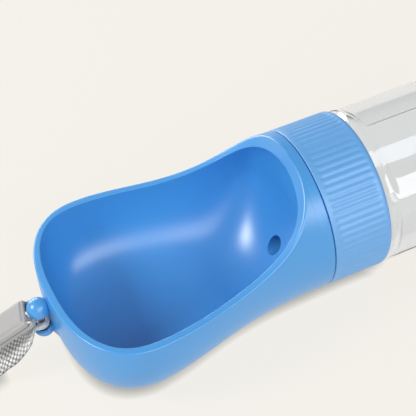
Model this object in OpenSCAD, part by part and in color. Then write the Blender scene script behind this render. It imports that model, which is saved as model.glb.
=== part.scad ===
// Travel drinking bottle with a bowl at its mouth, lying on its side with the bowl facing up.
// The bottle's axis runs along X: the bowl's tip is at -X and the bottle's base at +X.
// Z is up and Z = 0 is the ground. The origin is the middle of the ground under the
// bottle and bowl, without the wrist strap. Every module below is written from the seam
// between bowl and collar, on the bottle's axis, and placed() moves it to the ground.

/* [Body] */
// Outer diameter of the collar and of the bottle's base ring
body_d = 70; // [66:0.5:76]
// Length of the collar
collar_len = 26.6; // [25.6:0.2:34]
// Gap at the seam between the bowl and the collar
seam_gap = 0.4; // [0.3:0.05:0.8]

/* [Bowl] */
// Length of the bowl from the seam to its tip
bowl_len = 113.5; // [104:0.5:130]
// Greatest width of the bowl
bowl_w = 93.2; // [86:0.2:100]
// Distance from the seam to the widest place of the bowl
bowl_widest = 82.6; // [76:0.2:88]
// Height of the level part of the rim above the bottle's axis
rim_rise = 4.7; // [2:0.1:7]
// Distance from the seam to the highest point of the rim
rim_apex = 4.25; // [3.9:0.05:6]
// Thickness of the bowl's side wall
bowl_wall = 3.2; // [2.4:0.1:4]
// Thickness of the bowl's wall at its tip
tip_wall = 3.4; // [2.8:0.1:5]
// Thickness of the bowl's floor
bowl_floor = 3; // [2:0.1:4]
// Distance from the seam to the end wall at its thinnest
end_wall = 3.6; // [3.2:0.1:5]
// Distance over which the end wall curves down into the floor
end_curve = 32.3; // [28:0.1:38]

/* [Outlet] */
// Diameter of the outlet hole in the end wall
outlet_d = 7.8; // [6.8:0.1:9]
// Distance from the valve disc's edge to the middle of the outlet
outlet_edge = 5.8; // [5.6:0.1:6.6]
// Bore of the outlet seal
seal_bore = 6.2; // [5:0.1:6.6]
// Wall of the outlet seal
seal_wall = 1.6; // [1.2:0.1:2]
// Depth of the outlet seal's seat in the end wall
seal_depth = 6.2; // [5:0.1:7]
// Thickness of the outlet seal's flange
seal_flange = 1.2; // [0.8:0.1:1.6]
// Diameter of the outlet seal's flange
seal_flange_d = 15.6; // [12:0.2:16]
// Angle that the collar turns from closed to open
twist = 60; // [56:1:66]

/* [Lug] */
// Diameter of the lug's ball
ball_d = 9.4; // [8.4:0.1:10]
// Distance from the bowl's tip to the lug pin's axis
lug_reach = 4.4; // [4.2:0.1:5]
// Distance of the ball's centre below the bottle's axis
ball_drop = 0.6; // [0:0.1:1.4]
// Clear height between the ball and the rim of the lower ear
lug_gap = 6.4; // [6:0.1:6.8]
// Diameter of the lower ear
ear_d = 8.8; // [8.4:0.1:9.6]
// Distance of the lower ear's middle from the pin's axis, towards the bowl
ear_back = 0.9; // [0:0.1:1.1]
// Wall of the lower ear's cup at its rim
ear_wall = 1; // [0.8:0.1:1.2]
// Diameter of the lug pin
pin_d = 3; // [2.4:0.1:3]

/* [Collar] */
// Wall of the collar
collar_wall = 2.8; // [2.6:0.1:3.4]
// Number of soft ribs round the collar
ribs = 72; // [48:1:90]
// Depth of the grooves between the ribs
rib_depth = 0.45; // [0.2:0.05:0.7]
// Plain band between the collar's ends and its ribs
plain_band = 2.6; // [2:0.1:4]
// Thickness of the flange that holds the collar on the spigot
collar_flange = 3.6; // [3:0.1:3.8]

/* [Spigot] */
// Room between the spigot behind the bowl and the collar's bore
spigot_room = 3.6; // [3.3:0.1:4]
// Wall of the spigot
spigot_wall = 2.4; // [2.2:0.1:3]
// Length of the spigot
spigot_len = 8; // [7.8:0.1:9]
// Thickness of the retaining ring
ring_t = 1.2; // [1:0.1:1.3]
// Depth of the retaining ring's groove
ring_groove = 1; // [0.8:0.1:1.2]
// Thickness of the glide washer in front of the retaining ring
glide_t = 0.6; // [0.4:0.1:0.8]

/* [Valve] */
// Thickness of the valve disc
disc_t = 3; // [2.6:0.1:3.4]
// Diameter of the pivot boss
boss_d = 9; // [8:0.1:10]
// Diameter of the pivot screw
screw_d = 2.9; // [2.4:0.1:3.4]
// Thickness of the valve disc's surrounding drum
drum_wall = 3.1; // [2.8:0.1:3.6]
// Thickness of the O-rings' round section
oring_d = 1.6; // [1.4:0.1:1.8]

/* [Bottle] */
// Length of the bottle past the collar
bottle_len = 112; // [90:1:180]
// Wall of the bottle
bottle_wall = 1.6; // [1.2:0.1:2]
// Room between the bottle's neck and the collar's bore
neck_room = 6.2; // [5.9:0.1:6.8]
// Length of the neck's threaded socket
socket_len = 12.1; // [11:0.1:13]
// Pitch of the neck's thread
thread_pitch = 4; // [3.8:0.1:4.2]
// Radial height of the neck's thread
thread_h = 1.3; // [1.1:0.05:1.4]
// Depth of the flat panels below the bottle's corners
panel_depth = 1.9; // [0.8:0.1:2.2]
// Turn of the panels about the bottle's axis
panel_turn = 30; // [0:1:60]
// Thickness of the bottle's gasket
gasket_t = 1.6; // [1.2:0.1:2]

/* [Strap] */
// Width of the webbing where it lies flat
webbing_w = 12; // [10:0.5:13]
// Thickness of the webbing where it lies flat
webbing_t = 1.5; // [1.1:0.1:1.6]
// Length of the strap clip
clip_len = 26; // [24:0.5:30]
// Width of the strap clip
clip_w = 12.4; // [11:0.1:13.4]
// Thickness of the strap clip
clip_t = 6.2; // [6:0.1:7]
// Wall of the strap clip
clip_wall = 1.2; // [1:0.1:1.3]
// Length of the lower shell past the end of the upper one
clip_tongue = 1.4; // [0:0.1:2]

/* [Hidden] */
$fn = 96;

// Clearances
fit = 0.05;        // between pieces that stay together
run = 0.07;        // on a radius that turns in a bore
face = 0.1;        // between flat faces that turn on each other
eps = 1;           // how far a cut runs past the face it opens

// Places along the axis, from the seam
r_body = body_d / 2;
x_collar_end = seam_gap + collar_len;
x_base = x_collar_end + bottle_len;
x_pin = -(bowl_len + lug_reach);
x_lug = x_pin - ball_d / 2;
x_shift = -(x_base + x_lug) / 2;

// Radii and places of the spigot and the valve in it
r_bore = r_body - collar_wall;
r_spigot = r_bore - spigot_room;
r_chamber = r_spigot - spigot_wall;
r_drum = r_chamber - run;
r_disc = r_drum - drum_wall;
outlet_drop = r_disc - outlet_edge;
x_flange_end = seam_gap + collar_flange;
x_glide = x_flange_end + face;
x_ring = x_glide + glide_t + fit;
x_disc = seal_flange + face;
x_disc_end = x_disc + disc_t;
boss_len = x_disc_end + face;
washer_t = 0.8;
washer_r = 7;
x_spring = boss_len + washer_t + fit;
spring_h = 0.9;
x_head = x_spring + spring_h + fit;
head_h = 1.9;
head_r = 2.9;
screw_hole = 6;              // depth of the screw's hole below the boss's top
ledge_t = 1.2;               // ledge that holds the valve disc in the insert
ledge_w = 1;
tab_t = 1.5;
tab_h = 1.3;
tab_angle = 20;
port_r = 3.25;
port_rim = 1.4;
rib_t = 1.7;                 // ribs on the disc's bottle side
rib_w = 1.2;
rib_sunk = 0.5;
x_insert_flange = spigot_len + 0.4;
flange_t = 2;
x_socket = x_insert_flange + flange_t;
x_socket_end = x_socket + socket_len;
x_neck = x_socket + gasket_t + 2 * fit;
r_neck = r_bore - neck_room;
r_thread = r_neck + thread_h;
r_socket = r_thread + 0.3;
socket_wall = 2.2;
key_h = 1;
key_angle = 8;
keys = 6;
stop_h = 1.8;                // radial height of the stop block
stop_len = 1.6;              // how far it stands out of the bowl's back face
stop_angle = 12;
stop_slack = 0.6;            // angle left free at each end of the stop's track

// The bowl's form
tip_round = 2.33;            // exponent of the tip's plan outline
inner_tip_round = 2.48;
tip_depth_round = 3.56;      // exponent of the tip's depth outline
neck_ease = 1.29;            // how late the bowl widens from the collar
square_side = 3.03;          // exponent of the belly's section at the widest place
square_ease = 1.55;
waist_rise = 0.6;            // how far the belly lifts halfway along
rise_len = 52.5;             // length over which the widest line climbs to the rim
rim_level_end = 80;          // where the level rim starts to climb
rim_sweep = 3.69;            // exponents of the rim's climb to its apex
rim_turn = 1.48;
lip_extra = 0.26;            // the wall thickens towards the tip
end_side_round = 4.6;        // exponents of the end wall's side and floor curves
end_floor_round = 2;
end_centre_rise = 7;         // how far the centre of the end wall's dish lies above the axis
around = 32;                 // steps across a section
tip_rows = 9;
mid_rows = 7;
apex_rows = 8;
dish_rows = 4;
mid_x = 30;

function clamp01(s) = min(1, max(0, s));
function ease(s) = let(c = clamp01(s)) c * c * (3 - 2 * c);
function round_off(u, e) = pow(1 - pow(clamp01(u), e), 1 / e);
function along(x) = clamp01(-x / bowl_widest);
function tip_share(x, tip) = clamp01((-x - bowl_widest) / (tip - bowl_widest));
function half_width(x) = r_body + (bowl_w / 2 - r_body) * ease(pow(along(x), neck_ease));
function centre_z(x) = rim_rise * ease(-x / rise_len);
function belly_z(x) = -r_body + waist_rise * pow(sin(180 * along(x)), 2);
function squareness(x) = 2 + (square_side - 2) * pow(along(x), square_ease);
function rim_z(x) =
    let(u = clamp01((x + rim_level_end) / (rim_level_end - rim_apex)))
    r_body - (r_body - rim_rise) * pow(1 - pow(u, rim_sweep), 1 / rim_turn);

// A section is [half width, depth, centre height, squareness, height above the centre].
function outer_section(x) =
    let(u = tip_share(x, bowl_len), z = centre_z(x))
    [half_width(x) * round_off(u, tip_round), (z - belly_z(x)) * round_off(u, tip_depth_round),
     z, squareness(x), r_body];
function inner_section(x) =
    let(tip = bowl_len - tip_wall, u = tip_share(x, tip), z = centre_z(x),
        v = (x + end_wall + end_curve) / end_curve,
        side = round_off(v, end_side_round), deep = round_off(v, end_floor_round),
        a = half_width(x) - bowl_wall - lip_extra * ease((-x - 60) / 20))
    [a * round_off(u, inner_tip_round) * side,
     (z - belly_z(x) - bowl_floor) * round_off(u, tip_depth_round) * deep,
     z + end_centre_rise * (1 - deep), squareness(x), (r_body - bowl_wall) * side];
// The angle, above the section's widest line, at which the rim cuts it.
function rim_angle(x, s) = s[4] <= 0 ? 90 : asin(min(1, max(-1, (rim_z(x) - s[2]) / s[4])));
function section_point(x, s, phi) =
    phi < 0 || phi > 180
    ? [x, s[0] * cos(phi), s[2] - s[4] * sin(phi)]
    : [x, s[0] * sign(cos(phi)) * pow(abs(cos(phi)), 2 / s[3]),
       s[2] - s[1] * pow(abs(sin(phi)), 2 / s[3])];
function section_row(x, s, cut) =
    [for (k = [0:around]) section_point(x, s, -cut + (180 + 2 * cut) * k / around)];
// Distance from the seam at which the inner wall's top meets the rim.
function inner_top(x) = let(s = inner_section(x)) s[2] + s[4] - rim_z(x);
function inner_apex(lo, hi, n = 24) =
    n == 0 ? (lo + hi) / 2
    : let(m = (lo + hi) / 2) inner_top(m) > 0 ? inner_apex(m, hi, n - 1) : inner_apex(lo, m, n - 1);
x_inner_apex = inner_apex(-mid_x, -end_wall);

function row_places(tip, apex) = concat(
    [for (i = [1:tip_rows]) -tip + (tip - bowl_widest) * pow(i / tip_rows, 2.3)],
    [for (i = [1:mid_rows]) -bowl_widest + (bowl_widest - mid_x) * i / mid_rows],
    [for (i = [1:apex_rows]) apex + (-mid_x - apex) * pow(1 - i / apex_rows, 2)]);

outer_x = row_places(bowl_len, -rim_apex);
inner_x = row_places(bowl_len - tip_wall, x_inner_apex);
open_rows = len(outer_x);
inner_side = inner_section(x_inner_apex)[4] / (r_body - bowl_wall);
dish_x = [for (i = [1:dish_rows])
    let(side = inner_side * (1 - i / (dish_rows + 1)))
    -end_wall - end_curve + end_curve * pow(1 - pow(side, end_side_round), 1 / end_side_round)];

outer_rows = concat(
    [for (i = [0:open_rows - 1])
        let(s = outer_section(outer_x[i]))
        section_row(outer_x[i], s, i == open_rows - 1 ? 90 : rim_angle(outer_x[i], s))],
    [section_row(0, outer_section(0), 90)]);
inner_rows = concat(
    [for (i = [0:open_rows - 1])
        let(s = inner_section(inner_x[i]))
        section_row(inner_x[i], s, i == open_rows - 1 ? 90 : rim_angle(inner_x[i], s))],
    [for (x = dish_x) section_row(x, inner_section(x), 90)]);

function flat(rows) = [for (r = rows) for (p = r) p];
row_len = around + 1;
inner_first = row_len * len(outer_rows);
bowl_points = concat(flat(outer_rows), flat(inner_rows),
    [[-bowl_len, 0, rim_rise], [0, 0, 0],
     [-bowl_len + tip_wall, 0, rim_rise],
     [-end_wall, 0, inner_section(-end_wall)[2]]]);
outer_tip = inner_first + row_len * len(inner_rows);
back_centre = outer_tip + 1;
inner_tip = outer_tip + 2;
dish_centre = outer_tip + 3;
function quad(a, b, c, d) = [[a, b, c], [a, c, d]];
function skin(first, rows, out) = [for (i = [0:rows - 2]) for (k = [0:around - 1])
    let(a = first + i * row_len + k, b = a + 1, c = b + row_len, d = a + row_len)
    each (out ? quad(a, b, c, d) : quad(a, d, c, b))];
function fan(tip, first, out) = [for (k = [0:around - 1])
    out ? [tip, first + k + 1, first + k] : [tip, first + k, first + k + 1]];
lip_faces = [for (i = [0:open_rows - 2]) for (side = [0, around])
    let(a = i * row_len + side, b = a + row_len, c = inner_first + b, d = inner_first + a)
    each (side == 0 ? quad(a, b, c, d) : quad(a, d, c, b))];
bowl_faces = concat(
    skin(0, len(outer_rows), true),
    fan(outer_tip, 0, true),
    fan(back_centre, inner_first - row_len, false),
    skin(inner_first, len(inner_rows), false),
    fan(inner_tip, inner_first, false),
    fan(dish_centre, outer_tip - row_len, true),
    lip_faces,
    quad(outer_tip, 0, inner_first, inner_tip),
    quad(outer_tip, inner_tip, inner_first + around, around));

// The strap clip's place: the middle of its end face, and its turns about Z, Y and X.
clip_at = [x_pin - 4.5, 0.9, -1.6];
clip_yaw = 157;
clip_pitch = 38;
clip_roll = -12;
clip_seam = -0.6;            // height of the seam between the clip's shells
clip_room = 1.8;             // clear height above and below the seam, shared by both shells
cavity_w = clip_w - 2 * clip_wall;
gather_w = cavity_w - 0.6;   // width of the webbing inside the clip
slot_len = 6;                // slot in the lower shell for the webbing on its way to the lug
slot_w = 6.8;

// The webbing's route from the seam: [place, direction of its width, width, thickness].
gap_z = -8.6;
strand_w = 2.8;              // width of the gathered webbing on the lug pin
flat_w = webbing_w;
flat_t = webbing_t;
strap_route = [
    [[-130.7, 4.6, -9.5], [-3, -10, -2], gather_w, 2.2],
    [[-127.8, 3.3, -7], [-3, -10, -2], gather_w, 2.2],
    [[-125, 2.1, -4.8], [-3, -10, -1], 6, 2.2],
    [[-123.4, 1.8, -5.2], [-3, -9, 3], 4.2, 2],
    [[-122, 1.9, -6.9], [-2, -5, 7], strand_w, 2],
    [[-120, 2.5, -8.5], [0, -1, 10], strand_w, 2],
    [[-117.9, 2.7, gap_z], [0, 0, 1], strand_w, 2],
    [[-116, 2, gap_z], [0, 0, 1], strand_w, 2],
    [[-115.2, 0, gap_z], [0, 0, 1], strand_w, 2],
    [[-116, -2, gap_z], [0, 0, 1], strand_w, 2],
    [[-117.9, -2.7, gap_z], [0, 0, 1], strand_w, 2],
    [[-119.7, -2.5, -8.8], [0, -3, 7], strand_w, 2],
    [[-121.7, -1.9, -9.4], [1, -7, 3], 3.6, 1.9],
    [[-123.9, -0.8, -12.4], [1, -9, -1], 6, 1.8],
    [[-126.4, -0.5, -15.5], [1, -10, -1], 8, 1.7],
    [[-131, 1, -20.4], [1, -10, -1], 10.8, 1.6],
    [[-135.3, 2.8, -25], [0, -1, 0], flat_w, flat_t],
    [[-139.3, 4.1, -28.8], [0, -1, 0], flat_w, flat_t],
    [[-145.6, 5.9, -32.2], [0, -1, 0], flat_w, flat_t],
    [[-153.5, 7.8, -34], [-1, -9, 0], flat_w, flat_t],
    [[-164, 10.6, -34.2], [-3, -9, 0], flat_w, flat_t],
    [[-178, 15, -34.2], [-3, -9, 0], flat_w, flat_t],
    [[-194, 20.4, -34.2], [-3, -9, 0], flat_w, flat_t],
    [[-210, 25.8, -34.2], [-3, -9, 0], flat_w, flat_t],
    [[-222, 29.8, -33.8], [-3, -9, 0], flat_w, flat_t],
    [[-230, 32.6, -31.4], [-3, -9, 0], flat_w, flat_t],
    [[-234.6, 34.2, -27], [-3, -9, 0], flat_w, flat_t],
    [[-235, 34.4, -22], [-3, -9, 0], flat_w, flat_t],
    [[-231, 33, -18], [-3, -9, 0], flat_w, flat_t],
    [[-224, 30.8, -16.4], [-3, -9, 0], flat_w, flat_t],
    [[-214, 28, -17.4], [-3, -9, 0], flat_w, flat_t],
    [[-202, 25, -21], [-3, -9, 0], flat_w, flat_t],
    [[-190, 22.4, -25.6], [-3, -9, 0], flat_w, flat_t],
    [[-178, 19.8, -29], [-3, -9, 0], flat_w, flat_t],
    [[-166, 17, -29.8], [-3, -9, 0], flat_w, flat_t],
    [[-156, 14.2, -27.8], [-3, -9, -1], 11, 1.6],
    [[-149.2, 12, -24.6], [-3, -10, -2], 9.8, 1.8],
    [[-144.6, 10.4, -21.2], [-3, -10, -2], gather_w, 2.2],
    [[-138, 7.6, -15.7], [-3, -10, -2], gather_w, 2.2],
    [[-131.6, 4.9, -10.2], [-3, -10, -2], gather_w, 2.2]];

module placed() translate([x_shift, 0, r_body]) children();
// A solid of revolution about the bottle's axis, from [radius, distance from the seam] points.
module turned(profile) rotate([0, 90, 0]) rotate_extrude() polygon(profile);
module tube(x0, x1, r_in, r_out)
    turned([[r_in, x0], [r_out, x0], [r_out, x1], [r_in, x1]]);
module rod(x0, x1, r) translate([x0, 0, 0]) rotate([0, 90, 0]) cylinder(h = x1 - x0, r = r);
// A part of a ring: angles are turned about the axis from straight down.
module sector(x0, x1, r_in, r_out, from, span)
    rotate([0, 90, 0]) rotate([0, 0, from]) rotate_extrude(angle = span)
        polygon([[r_in, x0], [r_out, x0], [r_out, x1], [r_in, x1]]);
module oring(x, r) rotate([0, 90, 0]) rotate_extrude($fn = 64)
    translate([r, x]) circle(d = oring_d, $fn = 24);
module at_outlet() translate([0, 0, -outlet_drop]) children();

x_ear = x_pin + ear_back;
ear_top = -ball_drop - ball_d / 2 - lug_gap;
ear_bottom = ear_top - ear_d / 2;
cup_rise = 0.8;              // height of the cup's centre above the ear's rim
web_w = 6;                   // web between the ear and the bowl
web_h = 3.4;
neck_r = 2.6;                // neck between the ball and the bowl
wall_mid = bowl_len - tip_wall * 0.6;

// The lug is a ball on a short neck, and below it a half ball with a round cup in its top.
module lug() {
    translate([x_pin, 0, -ball_drop]) sphere(d = ball_d, $fn = 64);
    translate([x_pin, 0, -ball_drop]) rotate([0, 90, 0])
        cylinder(h = -x_pin - wall_mid, r = neck_r, $fn = 48);
    difference() {
        union() {
            translate([x_ear, 0, ear_top]) sphere(d = ear_d, $fn = 64);
            translate([x_ear, -web_w / 2, ear_top - web_h]) cube([-x_ear - wall_mid, web_w, web_h]);
        }
        translate([x_pin - ear_d, -ear_d, ear_top]) cube([2 * ear_d, 2 * ear_d, ear_d]);
        translate([x_ear, 0, ear_top + cup_rise]) sphere(r = ear_d / 2 - ear_wall, $fn = 64);
    }
}

pocket_in = 15;
pocket_x = 4.6;
pocket_wall = 1.6;
pocket_half = 56;            // half the angle that the pocket spans
module pockets() difference() {
    sector(-pocket_x, eps, pocket_in, r_chamber - pocket_wall, -pocket_half, 2 * pocket_half);
    at_outlet() rod(-pocket_x - eps, 2 * eps, seal_flange_d / 2 + 1);
}

pin_hole_top = -ball_drop + 0.4;
pin_inset = 0.9;             // how far the pin's end lies inside the ear
groove_w = oring_d * 1.2;
oring_x = (x_disc + x_disc_end) / 2;
module trough() color([0.44, 0.66, 0.91]) placed() difference() {
    union() {
        polyhedron(bowl_points, bowl_faces, convexity = 8);
        tube(-pocket_wall, spigot_len, r_chamber, r_spigot);
        rod(-pocket_wall, boss_len, boss_d / 2);
        sector(-pocket_wall, stop_len, r_bore - stop_h, r_bore - 2 * run,
               180 - stop_angle / 2, stop_angle);
        lug();
    }
    pockets();
    at_outlet() rod(-mid_x, eps, outlet_d / 2);
    at_outlet() rod(-seal_depth, eps, seal_bore / 2 + seal_wall + fit);
    rod(boss_len - screw_hole, boss_len + eps, screw_d / 2 + fit);
    tube(oring_x - groove_w / 2, oring_x + groove_w / 2, boss_d / 2 - oring_d - fit, boss_d / 2 + eps);
    tube(x_ring - fit, x_ring + ring_t + fit, r_spigot - ring_groove, r_spigot + eps);
    translate([x_pin, 0, ear_bottom - eps])
        cylinder(h = pin_hole_top - ear_bottom + eps, d = pin_d + 2 * fit);
}

module lug_pin() color("silver") placed()
    translate([x_pin, 0, ear_bottom + pin_inset])
        cylinder(h = pin_hole_top - 2 * fit - ear_bottom - pin_inset, d = pin_d);

module outlet_seal() color([0.62, 0.6, 0.58]) placed() at_outlet() difference() {
    union() {
        rod(-seal_depth + fit, seal_flange, seal_bore / 2 + seal_wall);
        rod(0.02, seal_flange, seal_flange_d / 2);
    }
    rod(-seal_depth - eps, seal_flange + eps, seal_bore / 2);
}

module retaining_ring() color("gainsboro") placed()
    sector(x_ring, x_ring + ring_t, r_spigot - ring_groove + fit, r_bore - 0.6, 188, 344);

module glide_washer() color("ivory") placed()
    tube(x_glide, x_glide + glide_t, r_spigot + run, r_bore - 0.4);

module pivot_oring() color([0.25, 0.25, 0.26]) placed()
    oring(oring_x, boss_d / 2 - oring_d / 2 + run / 2);

module pivot_washer() color("silver") placed()
    tube(boss_len + fit / 2, boss_len + washer_t, screw_d / 2 + fit, washer_r);

module pivot_spring() color("silver") placed() turned([
    [screw_d / 2 + 2 * fit, x_spring + spring_h - 0.4], [screw_d / 2 + 2 * fit, x_spring + spring_h],
    [head_r, x_spring + spring_h], [washer_r - 1.2, x_spring + 0.4], [washer_r - 1.2, x_spring],
    [head_r, x_spring + spring_h - 0.4]]);

module pivot_screw() color("silver") placed() difference() {
    union() {
        rod(boss_len - screw_hole + 0.4, x_head + eps, screw_d / 2);
        turned([[0, x_head], [head_r, x_head], [head_r, x_head + head_h * 0.6],
                [head_r * 0.7, x_head + head_h], [0, x_head + head_h]]);
    }
    for (turn = [0, 90]) rotate([turn, 0, 0])
        translate([x_head + head_h * 0.4, -head_r * 0.6, -0.35]) cube([head_h, head_r * 1.2, 0.7]);
}

module valve_disc() color([0.93, 0.93, 0.93]) placed() difference() {
    union() {
        tube(x_disc, x_disc_end, boss_d / 2 + run, r_disc - fit);
        for (i = [0:2])
            sector(x_disc, x_disc + tab_t, r_disc - 1, r_disc + tab_h,
                   120 * i - tab_angle / 2, tab_angle);
        tube(x_disc_end - rib_sunk, x_disc_end + rib_t, washer_r + 1, washer_r + 1 + rib_w);
        rotate([-twist, 0, 0]) at_outlet() rod(x_disc_end - rib_sunk, x_disc_end + rib_t, port_r + port_rim);
    }
    rotate([-twist, 0, 0]) at_outlet() rod(0, x_disc_end + rib_t + eps, port_r);
}

groove_x = x_disc_end + 1.4;
module insert_oring() color([0.25, 0.25, 0.26]) placed()
    oring(groove_x, r_drum - oring_d / 2);

// One turn of a helical ridge about the bottle's axis is one pitch long. Its root is sunk in
// the wall that carries it, and its ends taper into that wall.
module helix(x0, turns, r_root, r_crest, root_w, crest_w, steps = 30) {
    n = round(steps * turns);
    ring = [for (i = [0:n])
        let(a = 360 * i / steps, x = x0 + thread_pitch * i / steps,
            grow = min(1, i / 4, (n - i) / 4), crest = r_root + (r_crest - r_root) * max(0.1, grow))
        for (p = [[r_root, -root_w / 2], [crest, -crest_w / 2], [crest, crest_w / 2], [r_root, root_w / 2]])
            [x + p[1], p[0] * sin(a), -p[0] * cos(a)]];
    faces = concat(
        [for (i = [0:n - 1]) for (k = [0:3])
            let(a = 4 * i + k, b = 4 * i + (k + 1) % 4)
            each quad(a, b, b + 4, a + 4)],
        [[3, 2, 1], [3, 1, 0]],
        [[4 * n, 4 * n + 1, 4 * n + 2], [4 * n, 4 * n + 2, 4 * n + 3]]);
    polyhedron(ring, r_crest > r_root ? faces : [for (f = faces) [f[2], f[1], f[0]]], convexity = 6);
}
thread_root = 1.7;
thread_crest = 1;
thread_sunk = 0.4;           // how far a ridge's root is sunk in its wall
thread_room = 0.35;          // radial play between a ridge and the other wall
thread_turns = 1.75;
x_thread = x_neck + 1.6;

module threaded_insert() color([0.9, 0.92, 0.94]) placed() {
    difference() {
        union() {
            turned([
                [r_disc, x_disc], [r_drum - 0.3, x_disc], [r_drum, x_disc + 0.3], [r_drum, x_insert_flange],
                [r_bore - fit, x_insert_flange], [r_bore - fit, x_socket],
                [r_socket + socket_wall, x_socket], [r_socket + socket_wall, x_socket_end - 2],
                [r_bore - fit, x_socket_end - 2], [r_bore - fit, x_socket_end],
                [r_socket, x_socket_end], [r_socket, x_socket], [r_disc, x_socket],
                [r_disc, x_disc_end + ledge_t + fit], [r_disc - ledge_w, x_disc_end + ledge_t + fit],
                [r_disc - ledge_w, x_disc_end + fit], [r_disc, x_disc_end + fit]]);
            for (i = [0:keys - 1])
                sector(x_insert_flange, x_socket, r_bore - 1, r_bore + key_h,
                       360 * i / keys - key_angle / 2, key_angle);
        }
        tube(groove_x - groove_w / 2, groove_x + groove_w / 2, r_drum - oring_d - fit, r_drum + eps);
        for (i = [0:2])
            sector(x_disc - eps, x_disc + tab_t + fit, r_disc - 0.5, r_disc + tab_h + fit,
                   120 * i - tab_angle / 2 - 0.3, tab_angle + 0.6);
    }
    helix(x_thread + thread_pitch / 2, thread_turns, r_socket + thread_sunk, r_neck + thread_room,
          thread_root, thread_crest);
}

rib_r = 1.1;
module collar() color([0.45, 0.67, 0.9]) placed() difference() {
    turned([
        [r_spigot + 3 * run, seam_gap], [r_body - 0.4, seam_gap], [r_body, seam_gap + 0.4],
        [r_body, x_collar_end - 1.8], [r_body - 0.5, x_collar_end - 0.6], [r_body - 1.4, x_collar_end],
        [r_bore, x_collar_end], [r_bore, x_flange_end], [r_spigot + 3 * run, x_flange_end]]);
    for (i = [0:ribs - 1]) rotate([360 * i / ribs, 0, 0])
        translate([0, 0, r_body + rib_r - rib_depth])
            rod(seam_gap + plain_band, x_collar_end - plain_band, rib_r);
    sector(seam_gap - eps, stop_len + 2 * face, r_bore - stop_h - 2 * run, r_bore,
           180 - twist - stop_angle / 2 - stop_slack, twist + stop_angle + 2 * stop_slack);
    for (i = [0:keys - 1])
        sector(x_insert_flange - fit, x_socket + fit, r_bore - eps, r_bore + key_h + fit,
               360 * i / keys - key_angle / 2 - 0.2, key_angle + 0.4);
}
module bottle_gasket() color([0.86, 0.88, 0.9]) placed()
    tube(x_socket + fit, x_socket + fit + gasket_t, r_disc - 0.4, r_neck - face);

// The bottle's outside, or its inside when it is inset by the wall.
r_corner = r_body - 0.6;
x_shoulder = x_socket_end + 0.4;
panel_start = 6;             // from the collar's end to the panels
panel_end = 3;               // from the panels to the base ring
base_ring = 9;
push_up = 4;
module bottle_form(inset) difference() {
    turned([
        [0, x_neck - (inset > 0 ? eps : 0)], [r_neck - inset, x_neck - (inset > 0 ? eps : 0)],
        [r_neck - inset, x_shoulder + inset * 0.4], [r_neck + 2.9 - inset, x_shoulder + 1.4 + inset * 0.7],
        [r_bore - 1.2 - inset, x_collar_end - 1 + inset * 0.7],
        [r_body - 1.9 - inset, x_collar_end + 1.4 + inset * 0.4],
        [r_body - 1 - inset, x_collar_end + 3], [r_corner - inset, x_collar_end + 5.4],
        [r_corner - inset, x_base - base_ring - 1], [r_body - inset, x_base - base_ring + 1],
        [r_body - inset, x_base - 3], [r_body - 0.9 - inset, x_base - 1 - inset * 0.4],
        [r_body - 3 - inset, x_base - inset],
        [r_body - 8, x_base - inset], [r_body - 14, x_base - push_up * 0.7 - inset],
        [0, x_base - push_up - inset]]);
    for (i = [0:5]) rotate([panel_turn + 60 * i, 0, 0])
        translate([x_collar_end + panel_start + inset, -r_body, r_corner - panel_depth - inset])
            cube([bottle_len - base_ring - panel_start - panel_end - 2 * inset, body_d, r_body]);
}
module bottle() color([0.86, 0.9, 0.93, 0.4]) placed() {
    difference() {
        bottle_form(0);
        bottle_form(bottle_wall);
    }
    helix(x_thread, thread_turns, r_neck - thread_sunk, r_thread, thread_root, thread_crest);
}

// The webbing is swept along its route as a strip with chamfered edges.
function unit(v) = v / norm(v);
function strip_ring(i) =
    let(last = len(strap_route) - 1, r = strap_route[i],
        t = unit(strap_route[min(i + 1, last)][0] - strap_route[max(i - 1, 0)][0]),
        w = unit(r[1] - t * (r[1] * t)), n = cross(t, w),
        a = r[2] / 2, b = r[3] / 2, c = b * 0.6)
    [for (p = [[a, b - c], [a - c, b], [c - a, b], [-a, b - c],
               [-a, c - b], [c - a, -b], [a - c, -b], [a, c - b]]) r[0] + w * p[0] + n * p[1]];
module strap_webbing() color([0.6, 0.6, 0.6]) placed() {
    rings = [for (i = [0:len(strap_route) - 1]) strip_ring(i)];
    n = len(rings);
    polyhedron([for (r = rings) for (p = r) p],
        concat(
            [for (i = [0:n - 2]) for (k = [0:7])
                let(a = 8 * i + k, b = 8 * i + (k + 1) % 8)
                each quad(a, a + 8, b + 8, b)],
            [[for (k = [0:7]) k]],
            [[for (k = [7:-1:0]) 8 * (n - 1) + k]]), convexity = 10);
}

module at_clip() placed() translate(clip_at) rotate([0, 0, clip_yaw])
    rotate([0, clip_pitch, 0]) rotate([clip_roll, 0, 0]) children();
module ball_room() placed() translate([x_pin, 0, -ball_drop]) sphere(r = ball_d / 2 + 0.5, $fn = 64);
module slab(x0, x1, w, z0, z1, r) translate([0, 0, z0]) {
    translate([x0 + r, -w / 2, 0]) cube([x1 - x0 - 2 * r, w, z1 - z0]);
    translate([x0, -w / 2 + r, 0]) cube([x1 - x0, w - 2 * r, z1 - z0]);
    for (x = [x0 + r, x1 - r]) for (y = [-w / 2 + r, w / 2 - r])
        translate([x, y, 0]) cylinder(h = z1 - z0, r = r, $fn = 48);
}
module clip_cavity() translate([-clip_tongue - eps, -cavity_w / 2, clip_seam - clip_room])
    cube([clip_len + clip_tongue + 2 * eps, cavity_w, 2 * clip_room]);
clip_pin_x = [9, 17];
clip_pin_d = 1.6;

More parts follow.
